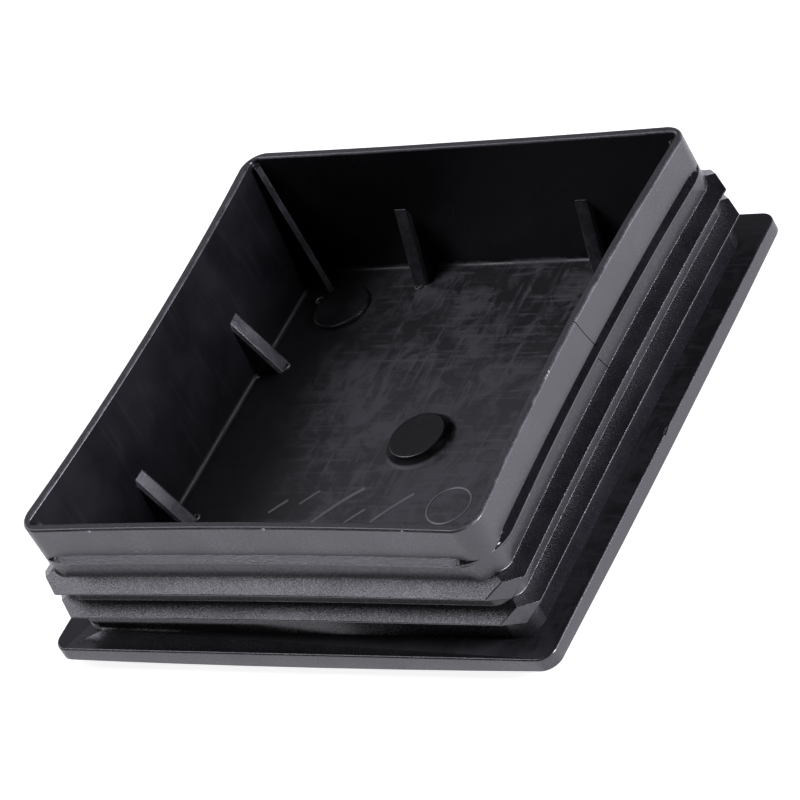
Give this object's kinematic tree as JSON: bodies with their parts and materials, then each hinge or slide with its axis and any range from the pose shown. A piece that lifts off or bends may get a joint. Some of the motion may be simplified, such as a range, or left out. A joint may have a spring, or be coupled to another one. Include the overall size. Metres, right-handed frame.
{
  "type": "tube end cap",
  "caption": "Square moulded end cap whose ribbed hollow plug pushes into a square tube while its flanged head covers the tube's end.",
  "frame": {"origin": "centre of the head's outer face, on the surface that the cap lies on", "axes": "+Z along the tube's axis, from the head towards the plug's open rim; X and Y along the sides of the square"},
  "size_m": [0.1, 0.1, 0.0291],
  "materials": {
    "black_plastic": "as-moulded polyethylene, sparked texture on the outside, smoother and scuffed inside"
  },
  "bodies": {
    "root": {"end_cap": "black_plastic"}
  },
  "joints": []
}
